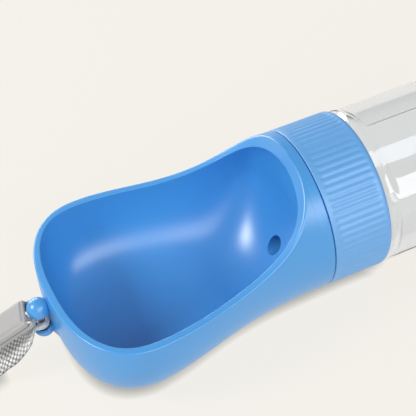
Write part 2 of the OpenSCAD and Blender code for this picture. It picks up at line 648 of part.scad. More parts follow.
module clip_top() color([0.76, 0.76, 0.76]) difference() {
    at_clip() difference() {
        union() {
            slab(0, clip_len, clip_w, clip_seam + fit, clip_t / 2 - 0.8, 1.6);
            slab(1.1, clip_len - 1.1, clip_w - 2.2, 0, clip_t / 2, 1);
        }
        clip_cavity();
        for (x = clip_pin_x) translate([x, 0, 0]) cylinder(h = clip_t / 2 - 0.8, d = clip_pin_d + fit);
    }
    ball_room();
}

module clip_bottom() color([0.7, 0.7, 0.7]) difference() {
    at_clip() difference() {
        slab(-clip_tongue, clip_len, clip_w, -clip_t / 2, clip_seam - fit, 1.6);
        clip_cavity();
        translate([-clip_tongue - eps, -slot_w / 2, -clip_t])
            cube([slot_len + clip_tongue + eps, slot_w, clip_t]);
        for (x = clip_pin_x) translate([x, 0, -clip_t]) cylinder(h = clip_t, d = clip_pin_d + fit);
    }
    ball_room();
}

clamp_len = 12;
clamp_t = 0.5;
module clip_clamp() color("silver") at_clip() difference() {
    union() {
        translate([clip_len / 2 - clamp_len / 2, -gather_w / 2, clip_seam - clip_room + fit])
            cube([clamp_len, gather_w, clamp_t]);
        for (x = [-4, 0, 4]) translate([clip_len / 2 + x - 0.3, -gather_w / 2, clip_seam - clip_room + fit])
            cube([0.6, gather_w, clamp_t + 0.3]);
    }
    for (x = clip_pin_x) translate([x, 0, -clip_t]) cylinder(h = clip_t, d = clip_pin_d + 2 * fit);
}

module clip_pins() color("silver") at_clip()
    for (x = clip_pin_x) translate([x, 0, -clip_t / 2]) cylinder(h = clip_t - 1, d = clip_pin_d);

trough();
lug_pin();
outlet_seal();
retaining_ring();
glide_washer();
pivot_oring();
pivot_washer();
pivot_spring();
pivot_screw();
valve_disc();
insert_oring();
threaded_insert();
collar();
bottle_gasket();
bottle();
strap_webbing();
clip_top();
clip_bottom();
clip_clamp();
clip_pins();
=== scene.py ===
import math
import bmesh
import bpy
import numpy as np
from mathutils import Matrix, Vector


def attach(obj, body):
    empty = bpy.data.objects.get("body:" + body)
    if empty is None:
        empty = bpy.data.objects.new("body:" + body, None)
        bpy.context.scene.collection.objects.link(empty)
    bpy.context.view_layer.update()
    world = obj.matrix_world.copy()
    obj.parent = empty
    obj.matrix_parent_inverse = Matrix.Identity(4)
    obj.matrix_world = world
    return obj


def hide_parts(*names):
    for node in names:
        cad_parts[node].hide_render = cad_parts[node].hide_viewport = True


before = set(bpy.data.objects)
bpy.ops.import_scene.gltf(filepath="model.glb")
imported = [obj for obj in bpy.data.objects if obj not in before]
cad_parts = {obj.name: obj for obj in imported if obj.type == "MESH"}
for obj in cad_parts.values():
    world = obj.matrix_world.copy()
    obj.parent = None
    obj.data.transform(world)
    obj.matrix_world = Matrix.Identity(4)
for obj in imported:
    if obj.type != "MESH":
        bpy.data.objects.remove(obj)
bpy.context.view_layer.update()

print("frame loaded:", len(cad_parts), "nodes")

# The pieces are written in millimetres from the seam between bowl and collar, on the bottle's
# axis, with +x towards the bottle's base. toPart moves them to the ground and into metres.
seamShift = -8.2
axisHeight = 35.0


def toPart(points):
    return (np.asarray(points, float) + [seamShift, 0, axisHeight]) * 0.001


def linear(red, green, blue):
    # a screen colour from 0 to 255 as the linear colour that a shader takes
    c = np.array([red, green, blue]) / 255
    c = np.where(c <= 0.04045, c / 12.92, ((c + 0.055) / 1.055) ** 2.4)
    return (*c.tolist(), 1.0)


def ease(s):
    # 0 below 0, 1 above 1 and a smooth step between
    c = np.clip(s, 0, 1)
    return c * c * (3 - 2 * c)


def addObject(name, data):
    thing = bpy.data.objects.new(name, data)
    bpy.context.scene.collection.objects.link(thing)
    return thing


# the camera, at the photograph's view

photoView = {
    "place": (-183.9, -364.4, 403.4),   # millimetres from the seam
    "heading": 21.52,                   # degrees from +y towards +x
    "tilt": 44.43,                      # degrees below level
    "roll": -5.2,
    "lens": 115.94,
}


def makeCamera():
    v = photoView
    lens = bpy.data.cameras.new("photoCamera")
    lens.lens = v["lens"]
    lens.sensor_width = 36
    lens.clip_start = 0.01
    lens.clip_end = 20
    eye = addObject("photoCamera", lens)
    turn = (Matrix.Rotation(math.radians(-v["heading"]), 4, "Z")
            @ Matrix.Rotation(math.radians(90 - v["tilt"]), 4, "X")
            @ Matrix.Rotation(math.radians(v["roll"]), 4, "Z"))
    eye.matrix_world = Matrix.Translation(Vector(toPart(v["place"]).tolist())) @ turn
    bpy.context.scene.camera = eye


makeCamera()
print("camera made")


# mesh helpers

def gridQuads(rows, cols, first, closed):
    # the quads of a grid of points; a closed one joins its last column to its first
    i = np.arange(rows - 1)[:, None]
    k = np.arange(cols if closed else cols - 1)[None, :]
    a = first + i * cols + k
    b = first + i * cols + (k + 1) % cols
    return np.stack([a, b, b + cols, a + cols], -1).reshape(-1, 4)


def fillMesh(name, verts, quads, tris):
    mesh = bpy.data.meshes.new(name)
    loops = np.concatenate([quads.ravel(), tris.ravel()]).astype(np.int32)
    starts = np.concatenate([np.arange(len(quads)) * 4, len(quads) * 4 + np.arange(len(tris)) * 3])
    mesh.vertices.add(len(verts))
    mesh.vertices.foreach_set("co", np.asarray(verts, np.float32).ravel())
    mesh.loops.add(len(loops))
    mesh.loops.foreach_set("vertex_index", loops)
    mesh.polygons.add(len(starts))
    mesh.polygons.foreach_set("loop_start", starts.astype(np.int32))
    mesh.update(calc_edges=True)
    return mesh


def weld(mesh, gap=2e-6):
    # closes the seams where two grids share an edge, and turns every face outwards
    work = bmesh.new()
    work.from_mesh(mesh)
    bmesh.ops.remove_doubles(work, verts=work.verts, dist=gap)
    bmesh.ops.dissolve_degenerate(work, edges=work.edges, dist=gap / 10)
    bmesh.ops.recalc_face_normals(work, faces=work.faces)
    work.to_mesh(mesh)
    work.free()
    mesh.update()


def smoothOver(mesh, degrees):
    # smooth faces, with a crease where two faces meet at more than that angle
    mesh.shade_smooth()
    mesh.set_sharp_from_angle(angle=math.radians(degrees))


def solid(name, sheets, crease=40, marks=None, paintedShade=None):
    # one closed piece. Each sheet is (points, closed) or (points, closed, first pole, last pole),
    # in millimetres from the seam; a pole closes the sheet's first or last row with a fan.
    # marks are texture places and paintedShade is a painted shade, for the points and the poles of one
    # sheet.
    verts, quads, tris, count = [], [], [], 0
    for sheet in sheets:
        points, closed = sheet[0], sheet[1]
        rows, cols = points.shape[:2]
        verts.append(points.reshape(-1, 3))
        quads.append(gridQuads(rows, cols, count, closed))
        first, count = count, count + rows * cols
        for pole, row in zip(sheet[2:], (0, rows - 1)):
            k = np.arange(cols if closed else cols - 1)
            ring = first + row * cols
            verts.append(np.asarray(pole, float).reshape(1, 3))
            tris.append(np.stack([np.full(len(k), count), ring + k, ring + (k + 1) % cols], -1))
            count += 1
    tris = np.concatenate(tris) if tris else np.zeros((0, 3), int)
    mesh = fillMesh(name, toPart(np.concatenate(verts)), np.concatenate(quads), tris)
    if marks is not None:
        places = np.concatenate([np.reshape(m, (-1, 2)) for m in marks])
        corner = np.empty(len(mesh.loops), np.int32)
        mesh.loops.foreach_get("vertex_index", corner)
        spots = places[corner].astype(np.float32)
        mesh.uv_layers.new(name="weave").data.foreach_set("uv", spots.ravel())
        # the painted shade of each point, kept in a colour attribute
        shade = np.concatenate([np.ravel(t) for t in paintedShade])[:, None] * np.ones(4)
        colours = mesh.color_attributes.new(name="thread", type="FLOAT_COLOR", domain="POINT")
        colours.data.foreach_set("color", shade.astype(np.float32).ravel())
    weld(mesh)
    smoothOver(mesh, crease)
    return addObject(name, mesh)


def shaped(base, others, operation, crease=40):
    # joins closed pieces to the base or cuts them out of it
    for other in others:
        cut = base.modifiers.new("shape", "BOOLEAN")
        cut.operation = operation
        cut.solver = "MANIFOLD"
        cut.object = other
    done = bpy.data.meshes.new_from_object(base.evaluated_get(bpy.context.evaluated_depsgraph_get()))
    old = base.data
    base.modifiers.clear()
    base.data = done
    done.name = base.name
    bpy.data.meshes.remove(old)
    for other in others:
        bpy.data.objects.remove(other)
    smoothOver(base.data, crease)
    return base


def xyz(x, y, z):
    # grids of x, y and z, stretched to one shape and joined into points
    return np.stack(np.broadcast_arrays(x, y, z), -1)


def ringAngles(steps):
    return np.arange(steps) / steps * 2 * math.pi


def aroundAxis(x, r, angles):
    # a point at distance r from the bottle's axis, turned from straight down towards +y
    return xyz(x, r * np.sin(angles), -r * np.cos(angles))


def turnedSolid(name, profile, steps=96, crease=40):
    # a closed outline of [place along the axis, radius] points turned about the bottle's axis
    outline = np.asarray(profile, float)
    outline = np.concatenate([outline, outline[:1]])
    points = aroundAxis(outline[:, :1], outline[:, 1:], ringAngles(steps)[None, :])
    return solid(name, [(points, True)], crease)


def rodSolid(name, x0, x1, radius, y=0.0, z=0.0, steps=64):
    # a closed cylinder that lies along x
    a = ringAngles(steps)[None, :]
    x = np.array([[x0], [x1]])
    points = xyz(x, y + radius * np.sin(a), z - radius * np.cos(a))
    return solid(name, [(points, True, (x0, y, z), (x1, y, z))])


def sectorSolid(name, x0, x1, r0, r1, start, span, steps=24):
    # part of a ring with a square section, from start over span, in degrees from straight down
    a = np.radians(start + span * np.arange(steps + 1) / steps)[:, None]
    x = np.array([[x0, x0, x1, x1]])
    r = np.array([[r0, r1, r1, r0]])
    points = aroundAxis(x, r, a)
    return solid(name, [(points, True, points[0].mean(0), points[-1].mean(0))])


def softCorners(points, rounds=3):
    # a polyline whose corners are cut back by a quarter, several times over
    p = np.asarray(points, float)
    for _ in range(rounds):
        a, b = p[:-1], p[1:]
        mid = np.stack([0.75 * a + 0.25 * b, 0.25 * a + 0.75 * b], 1).reshape(-1, p.shape[1])
        p = np.concatenate([p[:1], mid, p[-1:]])
    return p


# the wrist strap: its webbing first, because it is a cord

webbing = {
    "width": 12.0, "thickness": 1.5,
    "threadPitch": 1.3,       # from one thread to the next, both ways
    "threadHeight": 0.2, "threadCurve": 0.7, "weftShare": 0.85,
    "rows": 840, "acrossSteps": 38,
    "edgeRound": 8,
    "gather": 9.4,            # width inside the clip
    "strand": 2.0,            # width on the lug pin
    "strandShadeEven": 0.4,        # how evenly the painted shade lies there
    "gapHeight": -8.6,        # height on the lug pin
}
flatWeb = (webbing["width"], webbing["thickness"])
gathered = (webbing["gather"], 2.2)
strand = (webbing["strand"], 1.8)
gapZ = webbing["gapHeight"]
loopAcross = (-3, -9, 0)      # direction of the width along the loop

# the route, at the same places as in the solid model: place, direction of the width, width and
# thickness
strapRoute = [
    ((-130.7, 4.6, -9.5), (-3, -10, -2), *gathered),
    ((-127.8, 3.3, -7), (-3, -10, -2), *gathered),
    ((-125, 2.1, -4.8), (-3, -10, -1), 6, 2.2),
    ((-123.4, 1.8, -5.2), (-3, -9, 3), 4.2, 2),
    ((-122, 1.9, -6.9), (-2, -5, 7), *strand),
    ((-120, 2.5, -8.5), (0, -1, 10), *strand),
    ((-117.9, 2.7, gapZ), (0, 0, 1), *strand),
    ((-116, 2, gapZ), (0, 0, 1), *strand),
    ((-115.2, 0, gapZ), (0, 0, 1), *strand),
    ((-116, -2, gapZ), (0, 0, 1), 2.4, 1.9),
    ((-117.9, -2.7, gapZ), (0, 0, 1), 3, 2),
    ((-119.7, -2.5, -8.8), (0, -3, 7), 3.2, 2),
    ((-121.7, -1.9, -9.4), (1, -7, 3), 3.8, 1.9),
    ((-123.9, -0.8, -12.4), (1, -9, -1), 7, 1.7),
    ((-126.4, -0.5, -15.5), (1, -10, -1), 9.4, 1.6),
    ((-131, 1, -20.4), (1, -10, -1), 11.6, 1.6),
    ((-135.3, 2.8, -25), (0, -1, 0), *flatWeb),
    ((-139.3, 4.1, -28.8), (0, -1, 0), *flatWeb),
    ((-145.6, 5.9, -32.2), (0, -1, 0), *flatWeb),
    ((-153.5, 7.8, -34), (-1, -9, 0), *flatWeb),
    *((place, loopAcross, *flatWeb) for place in (
        (-164, 10.6, -34.2), (-178, 15, -34.2), (-194, 20.4, -34.2), (-210, 25.8, -34.2),
        (-222, 29.8, -33.8), (-230, 32.6, -31.4), (-234.6, 34.2, -27), (-235, 34.4, -22),
        (-231, 33, -18), (-224, 30.8, -16.4), (-214, 28, -17.4), (-202, 25, -21),
        (-190, 22.4, -25.6), (-178, 19.8, -29), (-166, 17, -29.8))),
    ((-156, 14.2, -27.8), (-3, -9, -1), 11, 1.6),
    ((-149.2, 12, -24.6), (-3, -10, -2), 9.8, 1.8),
    ((-144.6, 10.4, -21.2), (-3, -10, -2), *gathered),
    ((-138, 7.6, -15.7), (-3, -10, -2), *gathered),
    ((-131.6, 4.9, -10.2), (-3, -10, -2), *gathered),
]


def smoothRoute(points, width, size, rows):
    # a smooth curve through the points, at even steps of its length, with its width and size
    p = np.concatenate([points, width, size], 1)
    p = np.concatenate([2 * p[:1] - p[1:2], p, 2 * p[-1:] - p[-2:-1]])
    t = np.linspace(0, 1, 25)[None, :-1, None]
    a, b, c, d = (p[k:len(p) - 3 + k][:, None] for k in range(4))
    curve = 0.5 * (2 * b + (c - a) * t + (2 * a - 5 * b + 4 * c - d) * t ** 2
                   + (3 * b - a - 3 * c + d) * t ** 3)
    curve = np.concatenate([curve.reshape(-1, p.shape[1]), p[-2:-1]])
    run = np.concatenate([[0], np.cumsum(np.linalg.norm(np.diff(curve[:, :3], axis=0), axis=1))])
    even = np.linspace(0, run[-1], rows)
    out = np.stack([np.interp(even, run, curve[:, k]) for k in range(curve.shape[1])], 1)
    return out, even


def unit(v):
    return v / np.maximum(np.linalg.norm(v, axis=-1, keepdims=True), 1e-12)


def weaveHeight(along, across, side):
    # plain weave: a thread is a half round that rises over one crossing and dips under the next
    p, curve = webbing["threadPitch"], webbing["threadCurve"]
    s, q = along / p, across / p
    over = np.cos(math.pi * (s + np.floor(q))) * side
    under = np.cos(math.pi * (q + np.floor(s + 0.5) + 0.5)) * side
    warp = np.sin(math.pi * (q % 1)) ** curve * (0.5 + 0.5 * over)
    weft = np.sin(math.pi * ((s + 0.5) % 1)) ** curve * (0.5 - 0.5 * under) * webbing["weftShare"]
    return np.maximum(warp, weft)


def makeWebbing():
    w = webbing
    size = np.array([r[2:] for r in strapRoute], float)
    curve, run = smoothRoute(np.array([r[0] for r in strapRoute], float),
                             unit(np.array([r[1] for r in strapRoute], float)), size, w["rows"])
    place, wide = curve[:, :3], curve[:, 3:6]
    ahead = unit(np.gradient(place, axis=0))
    wide = unit(wide - ahead * (wide * ahead).sum(-1, keepdims=True))
    up = np.cross(ahead, wide)
    m = w["acrossSteps"]
    u = np.concatenate([np.linspace(-1, 1, m + 1)[:-1], np.linspace(1, -1, m + 1)[:-1]])[None, :]
    side = np.where(np.arange(2 * m) < m, 1, -1)[None, :]
    halfWide, halfThick = curve[:, 6:7] / 2, curve[:, 7:8] / 2
    edge = np.sqrt(1 - np.abs(u) ** w["edgeRound"])
    height = weaveHeight(run[:, None], u * w["width"] / 2, side)
    lift = side * edge * (halfThick - w["threadHeight"] * (1 - height))
    points = (place[:, None] + wide[:, None] * (u * halfWide)[..., None]
              + up[:, None] * lift[..., None])
    marks = np.stack(np.broadcast_arrays(run[:, None], u * w["width"] / 2), -1) * 0.001
    drawnIn = ease(1.6 - 2 * halfWide / w["gather"])   # 1 where the yarns lie packed in a strand
    even = w["strandShadeEven"] * drawnIn
    # painted shade: lighter on the threads' crowns, darker in the gaps between them, towards the
    # strip's edges and at its two ends; evened out where the yarns lie packed
    shade = height * edge * (1 - even) + even
    web = solid("webbingStrip", [(points, True, place[0], place[-1])], crease=180,
                marks=(marks, marks[0].mean(0), marks[-1].mean(0)),
                paintedShade=(shade, 0.0, 0.0))
    return web, toPart(place)


webbingStrip, webbingPath = makeWebbing()
print("webbing made:", len(webbingStrip.data.polygons), "faces")

lugBall = (-117.9, 0, -0.6)         # the middle of the lug's ball, over the pin

clip = {
    "place": (-122.4, 0.9, -1.6),   # the middle of the end face that points at the lug
    "yaw": 157, "pitch": 38, "roll": -12,
    "length": 26.0, "width": 12.4, "thickness": 6.2, "wall": 1.2,
    "seam": -0.6, "seamGap": 0.18, "room": 1.8, "tongue": 1.4,
    "corner": 1.7, "panelInset": 1.1, "shoulder": 2.3,
    "slotLength": 6.0, "slotWidth": 6.8,
    "pinPlaces": (9, 17), "pinHole": 1.7,
    "ballRoom": 5.2,                # radius kept free round the lug's ball
}


def clipPoints(points):
    # from the clip's own directions (along, across, up) to millimetres from the seam
    turn = (Matrix.Rotation(math.radians(clip["yaw"]), 3, "Z")
            @ Matrix.Rotation(math.radians(clip["pitch"]), 3, "Y")
            @ Matrix.Rotation(math.radians(clip["roll"]), 3, "X"))
    return np.asarray(points, float) @ np.array(turn).T + clip["place"]


def roundedRings(x0, x1, width, corner, levels, steps=9, least=0.25):
    # rounded rectangles stacked upwards: levels holds each ring's inset and height. A point is
    # the middle of its corner plus the corner's radius, turned by the angle
    inset, height = np.array(levels, float).T[:, :, None]
    quarter = np.repeat(np.arange(4), steps)
    a = np.tile(np.linspace(0, math.pi / 2, steps), 4) + quarter * math.pi / 2
    r = np.maximum(corner - inset, least)
    alongSign = np.where((quarter == 0) | (quarter == 3), 1, -1)
    acrossSign = np.where(quarter < 2, 1, -1)
    return xyz((x0 + x1) / 2 + alongSign * ((x1 - x0) / 2 - inset - r) + r * np.cos(a),
               acrossSign * (width / 2 - inset - r) + r * np.sin(a), height)


def slab(name, x0, x1, width, corner, levels):
    rings = roundedRings(x0, x1, width, corner, levels)
    first, last = rings[0].mean(0), rings[-1].mean(0)
    return solid(name, [(clipPoints(rings), True, clipPoints(first), clipPoints(last))])


def block(name, low, high):
    # a plain box in the clip's directions, for cutting
    (x0, y0, z0), (x1, y1, z1) = low, high
    ring = np.array([(x0, y0), (x1, y0), (x1, y1), (x0, y1)], float)
    points = np.array([[(*p, z) for p in ring] for z in (z0, z1)])
    middle = ring.mean(0)
    poles = clipPoints([(*middle, z) for z in (z0, z1)])
    return solid(name, [(clipPoints(points), True, *poles)])


def ballSolid(name, centre, radius, steps=64):
    # rings of longitude a from pole to pole, at each polar angle
    polar = np.linspace(0, math.pi, steps // 2 + 1)[1:-1, None]
    a = ringAngles(steps)[None, :]
    offset = xyz(np.sin(polar) * np.cos(a), np.sin(polar) * np.sin(a), -np.cos(polar))
    centre = np.asarray(centre, float)
    up = np.array([0, 0, radius])
    return solid(name, [(centre + radius * offset, True, centre - up, centre + up)])


def postSolid(name, x, y, z0, z1, radius, place=lambda p: p, steps=32):
    # a closed upright cylinder
    a = ringAngles(steps)[None, :]
    z = np.array([[z0], [z1]])
    points = xyz(x + radius * np.cos(a), y + radius * np.sin(a), z)
    return solid(name, [(place(points), True, place((x, y, z0)), place((x, y, z1)))])


def makeClip():
    c = clip
    seam, half = c["seam"], c["thickness"] / 2
    end = c["length"] + 1
    room = (c["width"] / 2 - c["wall"], c["room"])
    mouth = -c["tongue"] - 1
    cavity = ((mouth, -room[0], seam - room[1]), (end, room[0], seam + room[1]))
    slot = ((mouth, -c["slotWidth"] / 2, -2 * half), (c["slotLength"], c["slotWidth"] / 2, 0))

    def hollow(shell, boxes, low, high):
        # cuts out the boxes, the lug's ball and the pins' holes, which run from low to high
        cuts = [block("cut", *box) for box in boxes]
        cuts.append(ballSolid("cut", lugBall, c["ballRoom"]))
        for x in c["pinPlaces"]:
            cuts.append(postSolid("cut", x, 0, low, high, c["pinHole"] / 2, clipPoints))
        return shaped(shell, cuts, "DIFFERENCE", crease=32)

    i = c["panelInset"]
    top = slab("clipTop", 0, c["length"], c["width"], c["corner"], [
        (0.25, seam + c["seamGap"]), (0, seam + 0.35), (0, 1.2), (0.1, 1.7), (0.35, 2.08),
        (0.7, 2.26), (i, c["shoulder"]), (i + 0.05, 2.5), (i + 0.22, 2.84), (i + 0.5, 3.03),
        (i + 0.9, half), (3.0, half + 0.02)])
    bottom = slab("clipBottom", -c["tongue"], c["length"], c["width"], c["corner"], [
        (2.6, -half), (1.0, -half), (0.5, -half + 0.12), (0.15, -half + 0.4), (0, -half + 0.8),
        (0, seam - 0.35), (0.25, seam - c["seamGap"])])
    return (hollow(top, [cavity], -half, c["shoulder"]),
            hollow(bottom, [cavity, slot], -2 * half, 0))


clipTop, clipBottom = makeClip()
print("clip made")


# the bowl

bowl = {
    "radius": 35.0, "length": 113.5, "width": 93.2, "widest": 82.6,
    "rimRise": 4.7, "rimApex": 4.25, "wall": 3.2, "tipWall": 3.4, "floor": 3.0,
    "endWall": 3.6, "endCurve": 32.3,
    "tipRound": 2.33, "innerTipRound": 2.48, "tipDepthRound": 3.56,
    "neckEase": 1.29, "squareSide": 3.03, "squareEase": 1.55, "waistRise": 0.6, "riseLength": 52.5,
    "rimLevelEnd": 80.0, "rimSweep": 3.69, "rimTurn": 1.48, "lipExtra": 0.26,
    "lipFrom": 60.0, "lipEase": 20.0,
    "endSideRound": 4.6, "endFloorRound": 2.0, "endCentreRise": 7.0,
    "around": 112, "spread": 0.06, "tipRows": 40, "midRows": 34, "apexRows": 30, "dishRows": 16,
    "tipCrowd": 2.3, "midPlace": 30.0, "outerFillet": 0.95, "innerFillet": 0.4, "seamFillet": 0.35,
    "padHeight": 0.8, "padHalfWidth": 6.0, "padTop": 3.6, "padBottom": -17.0, "padEase": 3.0,
    "padFrom": 104.0, "padFade": 4.0,
}


def roundOff(u, power):
    # a superellipse's quarter: 1 at u = 0, down to 0 at u = 1
    return (1 - np.clip(u, 0, 1) ** power) ** (1 / power)


def halfWidth(x):
    # from the collar's radius at the seam to the bowl's widest place
    b = bowl
    along = np.clip(-x / b["widest"], 0, 1)
    return b["radius"] + (b["width"] / 2 - b["radius"]) * ease(along ** b["neckEase"])


def rimHeight(x):
    # level towards the tip, then swept up to the apex as a superellipse
    b = bowl
    u = np.clip((x + b["rimLevelEnd"]) / (b["rimLevelEnd"] - b["rimApex"]), 0, 1)
    return b["radius"] - (b["radius"] - b["rimRise"]) * (1 - u ** b["rimSweep"]) ** (1 / b["rimTurn"])


def sectionPlace(x, length):
    # share of the way into the round tip, centre height, belly height and squareness, at each x
    b = bowl
    along = np.clip(-x / b["widest"], 0, 1)
    tip = np.clip((-x - b["widest"]) / (length - b["widest"]), 0, 1)
    centre = b["rimRise"] * ease(-x / b["riseLength"])
    belly = -b["radius"] + b["waistRise"] * np.sin(math.pi * along) ** 2
    square = 2 + (b["squareSide"] - 2) * along ** b["squareEase"]
    return tip, centre, belly, square


def outerSection(x):
    # half width, depth, centre height, squareness and height above the centre, at each x
    b = bowl
    tip, centre, belly, square = sectionPlace(x, b["length"])
    return [halfWidth(x) * roundOff(tip, b["tipRound"]),
            (centre - belly) * roundOff(tip, b["tipDepthRound"]),
            centre, square, b["radius"] + 0 * x]


def innerSection(x):
    # the same five for the inner wall, whose back end curves into the end wall
    b = bowl
    tip, centre, belly, square = sectionPlace(x, b["length"] - b["tipWall"])
    v = (x + b["endWall"] + b["endCurve"]) / b["endCurve"]
    side, deep = roundOff(v, b["endSideRound"]), roundOff(v, b["endFloorRound"])
    width = halfWidth(x) - b["wall"] - b["lipExtra"] * ease((-x - b["lipFrom"]) / b["lipEase"])
    return [width * roundOff(tip, b["innerTipRound"]) * side,
            (centre - belly - b["floor"]) * roundOff(tip, b["tipDepthRound"]) * deep,
            centre + b["endCentreRise"] * (1 - deep), square, (b["radius"] - b["wall"]) * side]


def rimAngle(x, s):
    # the angle above level at which a section meets the rim
    lift = np.where(s[4] > 0, (rimHeight(x) - s[2]) / np.maximum(s[4], 1e-9), 1)
    return np.arcsin(np.clip(lift, -1, 1))


def sectionPoint(x, s, phi):
    # below the widest line a superellipse |y/a|^n + |z/d|^n = 1, above it half an ellipse
    c, t = np.cos(phi), np.sin(phi)
    below = t > 0
    y = np.where(below, s[0] * np.sign(c) * np.abs(c) ** (2 / s[3]), s[0] * c)
    z = np.where(below, s[2] - s[1] * np.abs(t) ** (2 / s[3]), s[2] - s[4] * t)
    return xyz(x, y, z)


def sectionRows(x, s, cut):
    # rows of points across the bowl, spaced a little wider where they meet the rim
    k = np.linspace(0, 1, bowl["around"] + 1)[None, :]
    k = k + bowl["spread"] * np.sin(2 * math.pi * k)
    x, cut = x[:, None], cut[:, None]
    return sectionPoint(x, [v[:, None] for v in s], -cut + (math.pi + 2 * cut) * k)


def rowPlaces(tip, apex):
    # the rows' places along x, closer together at the tip and at the apex
    b = bowl
    i = np.arange(1, b["tipRows"] + 1) / b["tipRows"]
    j = np.arange(1, b["midRows"] + 1) / b["midRows"]
    k = np.arange(1, b["apexRows"] + 1) / b["apexRows"]
    return np.concatenate([-tip + (tip - b["widest"]) * i ** b["tipCrowd"],
                           -b["widest"] + (b["widest"] - b["midPlace"]) * j,
                           apex + (-b["midPlace"] - apex) * (1 - k) ** 2])


def innerApex():
    # the place at which the inner wall's top meets the rim, by halving
    low, high = -bowl["midPlace"], -bowl["endWall"]
    for _ in range(40):
        mid = (low + high) / 2
        s = innerSection(np.array([mid]))
        if s[2][0] + s[4][0] > rimHeight(np.array([mid]))[0]:
            low = mid
        else:
            high = mid
    return (low + high) / 2


def rimFrames(rows, tip, x, cut, section):
    # the rim's points (the tip, one side to the apex and back along the other side), the rim's
    # direction at each, and the direction down the wall, square to the rim
    edge = np.concatenate([tip[None], rows[:, 0], rows[-2::-1, -1]])
    x = np.concatenate([x[:1], x, x[-2::-1]])
    phi = np.concatenate([-cut[:1], -cut, math.pi + cut[-2::-1]])
    step = 1e-3
    s, after, before = section(x), x + step, x - step
    across = sectionPoint(x, s, phi + step) - sectionPoint(x, s, phi - step)
    onwards = sectionPoint(after, section(after), phi) - sectionPoint(before, section(before), phi)
    normal = unit(np.cross(across, onwards))
    along = unit(np.roll(edge, -1, 0) - np.roll(edge, 1, 0))
    down = unit(np.cross(along, normal))
    down = down * -np.sign(down[len(cut) // 2, 2])
    down[0] = (0, 0, -1)
    return edge, along, down


def lipRows(outEdge, outAlong, outDown, inEdge, inAlong, inDown):
    # from the outer wall to the inner one: a round edge, a level band and a tighter round edge.
    # A round edge is a quadratic curve that runs into the corner's two sides
    fo, fi = bowl["outerFillet"], bowl["innerFillet"]
    across = inEdge - outEdge
    fromOut = unit(across - outAlong * (across * outAlong).sum(-1, keepdims=True))
    toIn = unit(across - inAlong * (across * inAlong).sum(-1, keepdims=True))
    bandStart, bandEnd = outEdge + fo * fromOut, inEdge - fi * toIn
    t = np.linspace(0, 1, 7)[None, :, None]

    def roundEdge(start, corner, end):
        return ((1 - t) ** 2 * start[:, None] + 2 * t * (1 - t) * corner[:, None]
                + t ** 2 * end[:, None])

    band = bandStart[:, None] + (bandEnd - bandStart)[:, None] * np.array([0.33, 0.67])[None, :, None]
    return np.concatenate([roundEdge(outEdge + fo * outDown, outEdge, bandStart), band,
                           roundEdge(bandEnd, inEdge, inEdge + fi * inDown)], 1)


def joinRim(rows, edge):
    # the ends of the wall's rows move to the lip's edge
    n = len(rows)
    rows[:, 0] = edge[1:n + 1]
    rows[:, -1] = np.concatenate([edge[n + 1:][::-1], edge[n:n + 1]])


def lugPad(points):
    # how far a low pad rises on the tip's outside, where the lug grows out of the wall
    b = bowl
    x, y, z = np.moveaxis(points, -1, 0)
    return (b["padHeight"] * ease((b["padHalfWidth"] - np.abs(y)) / b["padEase"])
            * ease((b["padTop"] - z) / b["padEase"]) * ease((z - b["padBottom"]) / b["padEase"])
            * ease((-x - b["padFrom"]) / b["padFade"]))


def closedRows(x, s):
    return sectionRows(x, s, np.full(len(x), math.pi / 2))


def seamRows():
    # whole rings from the apex to the seam, which has a small round
    b = bowl
    f = b["seamFillet"]
    x = np.array([-2.6, -1.9, -1.2, -0.7, -f, -0.5 * f, -0.15 * f, 0])
    s = outerSection(x)
    s[0] = s[1] = s[4] = b["radius"] - f + f * np.sqrt(np.clip(1 - ((x + f).clip(0) / f) ** 2, 0, 1))
    return closedRows(x, s)


def endRows(last):
    # whole rings that shrink to the middle of the end wall, at even steps of their width
    b = bowl
    power = b["endSideRound"]
    side = innerSection(last)[4][0] / (b["radius"] - b["wall"])
    side = side * (1 - np.arange(1, b["dishRows"] + 1) / (b["dishRows"] + 1))
    x = -b["endWall"] - b["endCurve"] + b["endCurve"] * (1 - side ** power) ** (1 / power)
    return closedRows(x, innerSection(x))


def makeBowl():
    b = bowl
    outTip = np.array([-b["length"], 0, b["rimRise"]])
    inTip = outTip + (b["tipWall"], 0, 0)
    sheets, frames = [], []
    for tip, apex, section in ((outTip, -b["rimApex"], outerSection),
                               (inTip, innerApex(), innerSection)):
        x = rowPlaces(-tip[0], apex)
        s = section(x)
        cut = rimAngle(x, s)
        cut[-1] = math.pi / 2
        rows = sectionRows(x, s, cut)
        sheets.append(rows)
        frames += rimFrames(rows, tip, x, cut, section)
    outer, inner = sheets
    lip = lipRows(*frames)
    joinRim(outer, lip[:, 0])
    joinRim(inner, lip[:, -1])
    outer[..., 0] -= lugPad(outer)
    endMiddle = (-b["endWall"], 0, innerSection(np.array([-b["endWall"]]))[2][0])
    return solid("bowlShell", [
        (np.concatenate([outer, seamRows()]), False, lip[0, 0], (0, 0, 0)),
        (np.concatenate([inner, endRows(x[-1:])]), False, lip[0, -1], endMiddle),
        (np.concatenate([lip, lip[:1]]), False)], crease=50)


lug = {
    "pinX": lugBall[0], "ballHeight": lugBall[2], "ballRadius": 4.7,
    "neckRadius": 2.7, "neckFlare": 1.6,
    "wallX": -111.6, "pinHole": 1.55,
    "earX": -117.0, "earTop": -11.7, "earRadius": 4.5, "earEdge": 0.4, "earRise": 2.2,
    "cupRadius": 3.4, "cupRise": 0.8,
    "webWidth": 5.6, "webDepth": 3.4, "webFlare": 3.6, "webStart": -116.5, "webTop": -10.2,
    "webFlareFrom": 1.2, "webFlareEase": 3.2, "webRound": 0.8, "webRise": 3.0,
}


